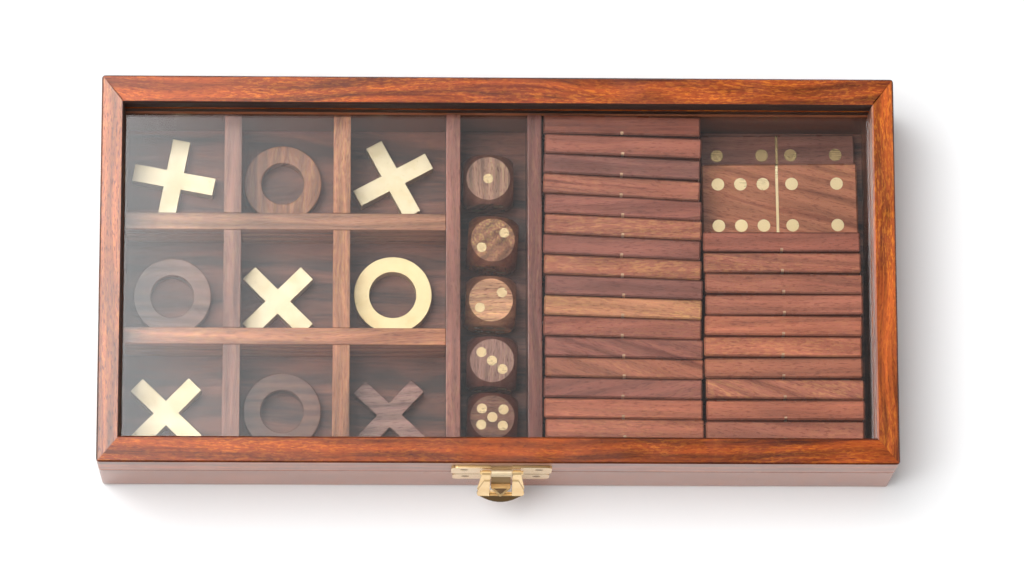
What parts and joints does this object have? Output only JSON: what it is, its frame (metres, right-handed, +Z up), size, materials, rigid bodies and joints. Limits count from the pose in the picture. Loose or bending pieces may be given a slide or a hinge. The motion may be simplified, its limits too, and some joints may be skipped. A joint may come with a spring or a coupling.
{
  "type": "games compendium box",
  "caption": "Shallow hinged hardwood box with a glazed lid and front latch, holding a noughts and crosses grid, dice and dominoes.",
  "frame": {"origin": "middle of the underside, on the surface that the box stands on", "axes": "+X to the right along the length with the latch facing the viewer, +Y from the latch to the hinges, +Z up"},
  "size_m": [0.25, 0.136, 0.04],
  "materials": {
    "base_wood": "satin lacquered reddish brown hardwood",
    "floor_wood": "dark stained panel",
    "grid_wood": "satin reddish brown hardwood",
    "lid_wood": "satin lacquered orange brown hardwood with dark streaks",
    "glass": "clear",
    "hinge_brass": "polished, lacquered",
    "latch_brass": "polished, lacquered",
    "screw_brass": "polished",
    "cross_brass": "pale, brushed",
    "ring_wood": "satin mid brown hardwood",
    "dark_cross_wood": "satin dark brown hardwood",
    "die_1_wood": "satin greyish brown",
    "die_2_wood": "satin speckled brown end grain",
    "die_3_wood": "satin orange brown",
    "die_4_wood": "satin dark purple brown",
    "die_5_wood": "satin reddish brown",
    "inlay_brass": "ground flush",
    "domino_wood": "satin reddish brown hardwood"
  },
  "bodies": {
    "base": {"base_front": "base_wood", "base_back": "base_wood", "base_left_end": "base_wood", "base_right_end": "base_wood", "base_floor": "floor_wood", "grid_rail_back": "grid_wood", "grid_rail_front": "grid_wood", "grid_post_left": "grid_wood", "grid_post_right": "grid_wood", "partition_left": "grid_wood", "partition_right": "grid_wood", "hinge_left_base_leaf": "hinge_brass", "hinge_left_pin": "hinge_brass", "hinge_right_base_leaf": "hinge_brass", "hinge_right_pin": "hinge_brass", "hinge_base_screws": "screw_brass", "latch_catch": "latch_brass", "latch_base_screws": "screw_brass", "dominoes_left_row": "domino_wood", "dominoes_left_inlays": "inlay_brass", "dominoes_right_row": "domino_wood", "dominoes_right_inlays": "inlay_brass"},
    "lid": {"lid_front": "lid_wood", "lid_back": "lid_wood", "lid_left_end": "lid_wood", "lid_right_end": "lid_wood", "glass_pane": "glass", "hinge_left_lid_leaf": "hinge_brass", "hinge_right_lid_leaf": "hinge_brass", "hinge_lid_screws": "screw_brass", "latch_lid_plate": "latch_brass", "latch_lid_screws": "screw_brass"},
    "flap": {"latch_flap": "latch_brass", "latch_pin": "latch_brass"},
    "cross_back_left_body": {"cross_back_left": "cross_brass"},
    "ring_back_middle_body": {"ring_back_middle": "ring_wood"},
    "cross_back_right_body": {"cross_back_right": "cross_brass"},
    "ring_middle_left_body": {"ring_middle_left": "ring_wood"},
    "cross_centre_body": {"cross_centre": "cross_brass"},
    "ring_middle_right_body": {"ring_middle_right": "cross_brass"},
    "cross_front_left_body": {"cross_front_left": "cross_brass"},
    "ring_front_middle_body": {"ring_front_middle": "ring_wood"},
    "cross_front_right_body": {"cross_front_right": "dark_cross_wood"},
    "die_1_body": {"die_1": "die_1_wood", "die_1_pips": "inlay_brass"},
    "die_2_body": {"die_2": "die_2_wood", "die_2_pips": "inlay_brass"},
    "die_3_body": {"die_3": "die_3_wood", "die_3_pips": "inlay_brass"},
    "die_4_body": {"die_4": "die_4_wood", "die_4_pips": "inlay_brass"},
    "die_5_body": {"die_5": "die_5_wood", "die_5_pips": "inlay_brass"},
    "domino_lower_body": {"domino_lower": "domino_wood", "domino_lower_inlays": "inlay_brass"},
    "domino_upper_body": {"domino_upper": "domino_wood", "domino_upper_inlays": "inlay_brass"}
  },
  "joints": [
    {"name": "lid_hinge", "type": "hinge", "parent": "base", "child": "lid", "pos_m": [0, 0.06392, 0.026], "axis": [-1, 0, 0], "range_deg": [0, 180]},
    {"name": "latch_flap_hinge", "type": "hinge", "parent": "lid", "child": "flap", "pos_m": [0.001, -0.06397, 0.0339], "axis": [-1, 0, 0], "range_deg": [0, 160]},
    {"name": "cross_back_left_lift", "type": "slide", "parent": "base", "child": "cross_back_left_body", "axis": [0, 0, 1], "range_m": [0, 0.02]},
    {"name": "ring_back_middle_lift", "type": "slide", "parent": "base", "child": "ring_back_middle_body", "axis": [0, 0, 1], "range_m": [0, 0.02]},
    {"name": "cross_back_right_lift", "type": "slide", "parent": "base", "child": "cross_back_right_body", "axis": [0, 0, 1], "range_m": [0, 0.02]},
    {"name": "ring_middle_left_lift", "type": "slide", "parent": "base", "child": "ring_middle_left_body", "axis": [0, 0, 1], "range_m": [0, 0.02]},
    {"name": "cross_centre_lift", "type": "slide", "parent": "base", "child": "cross_centre_body", "axis": [0, 0, 1], "range_m": [0, 0.02]},
    {"name": "ring_middle_right_lift", "type": "slide", "parent": "base", "child": "ring_middle_right_body", "axis": [0, 0, 1], "range_m": [0, 0.02]},
    {"name": "cross_front_left_lift", "type": "slide", "parent": "base", "child": "cross_front_left_body", "axis": [0, 0, 1], "range_m": [0, 0.02]},
    {"name": "ring_front_middle_lift", "type": "slide", "parent": "base", "child": "ring_front_middle_body", "axis": [0, 0, 1], "range_m": [0, 0.02]},
    {"name": "cross_front_right_lift", "type": "slide", "parent": "base", "child": "cross_front_right_body", "axis": [0, 0, 1], "range_m": [0, 0.02]},
    {"name": "die_1_lift", "type": "slide", "parent": "base", "child": "die_1_body", "axis": [0, 0, 1], "range_m": [0, 0.0095]},
    {"name": "die_2_lift", "type": "slide", "parent": "base", "child": "die_2_body", "axis": [0, 0, 1], "range_m": [0, 0.0095]},
    {"name": "die_3_lift", "type": "slide", "parent": "base", "child": "die_3_body", "axis": [0, 0, 1], "range_m": [0, 0.0095]},
    {"name": "die_4_lift", "type": "slide", "parent": "base", "child": "die_4_body", "axis": [0, 0, 1], "range_m": [0, 0.0095]},
    {"name": "die_5_lift", "type": "slide", "parent": "base", "child": "die_5_body", "axis": [0, 0, 1], "range_m": [0, 0.0095]},
    {"name": "domino_lower_lift", "type": "slide", "parent": "base", "child": "domino_lower_body", "axis": [0, 0, 1], "range_m": [0, 0.0129]},
    {"name": "domino_upper_lift", "type": "slide", "parent": "domino_lower_body", "child": "domino_upper_body", "axis": [0, 0, 1], "range_m": [0, 0.0129]}
  ]
}
